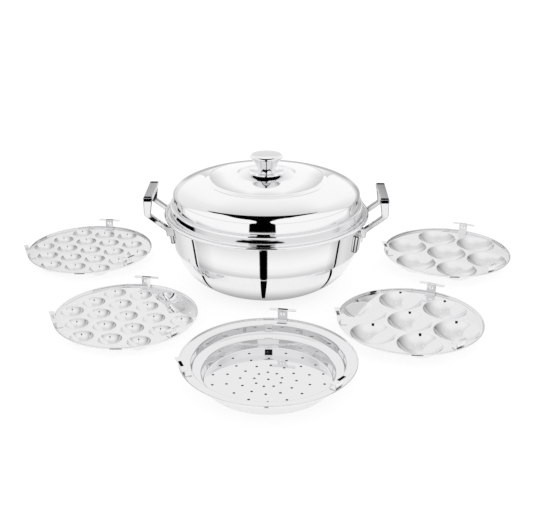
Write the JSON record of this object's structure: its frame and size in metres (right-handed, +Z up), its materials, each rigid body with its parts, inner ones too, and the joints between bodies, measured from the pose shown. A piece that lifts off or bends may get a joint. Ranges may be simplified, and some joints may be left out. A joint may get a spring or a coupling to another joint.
{
  "type": "idli steamer",
  "caption": "Round-bellied steel steaming pot with side handles and a domed lid with a knob, its cupped idli plates and a perforated steamer plate laid out round it.",
  "frame": {"origin": "centre of the pot's flat base, on the surface that the pot and the plates stand on", "axes": "+Z up along the pot's axis; +X towards the right-hand handle; -Y towards the front, where the steamer plate lies"},
  "size_m": [0.7164, 0.5546, 0.1851],
  "materials": {
    "polished_steel": "mirror-polished stainless steel",
    "satin_steel": "satin stainless steel"
  },
  "bodies": {
    "pot": {"pot_shell": "polished_steel", "handle_left": "satin_steel", "handle_right": "satin_steel", "rivets_left": "polished_steel", "rivets_right": "polished_steel"},
    "lid": {"lid_shell": "polished_steel", "lid_saucer": "polished_steel", "lid_knob": "polished_steel", "lid_washer": "satin_steel", "lid_screw": "satin_steel"},
    "mini_rear": {"mini_plate_rear": "polished_steel", "mini_rear_lug_1": "polished_steel", "mini_rear_lug_2": "polished_steel", "mini_rear_lug_3": "polished_steel"},
    "mini_front": {"mini_plate_front": "polished_steel", "mini_front_lug_1": "polished_steel", "mini_front_lug_2": "polished_steel", "mini_front_lug_3": "polished_steel"},
    "idli_rear": {"idli_plate_rear": "polished_steel", "idli_rear_lug_1": "polished_steel", "idli_rear_lug_2": "polished_steel", "idli_rear_lug_3": "polished_steel"},
    "idli_front": {"idli_plate_front": "polished_steel", "idli_front_lug_1": "polished_steel", "idli_front_lug_2": "polished_steel", "idli_front_lug_3": "polished_steel"},
    "steamer": {"steamer_plate": "polished_steel", "steamer_lug_1": "polished_steel", "steamer_lug_2": "polished_steel", "steamer_lug_3": "polished_steel"}
  },
  "joints": [
    {"name": "lid_lift", "type": "slide", "parent": "pot", "child": "lid", "axis": [0, 0, 1], "range_m": [0, 0.12]},
    {"name": "mini_rear_lift", "type": "slide", "parent": "pot", "child": "mini_rear", "axis": [0, 0, 1], "range_m": [0, 0.07]},
    {"name": "mini_front_lift", "type": "slide", "parent": "pot", "child": "mini_front", "axis": [0, 0, 1], "range_m": [0, 0.07]},
    {"name": "idli_rear_lift", "type": "slide", "parent": "pot", "child": "idli_rear", "axis": [0, 0, 1], "range_m": [0, 0.07]},
    {"name": "idli_front_lift", "type": "slide", "parent": "pot", "child": "idli_front", "axis": [0, 0, 1], "range_m": [0, 0.07]},
    {"name": "steamer_lift", "type": "slide", "parent": "pot", "child": "steamer", "axis": [0, 0, 1], "range_m": [0, 0.07]}
  ]
}
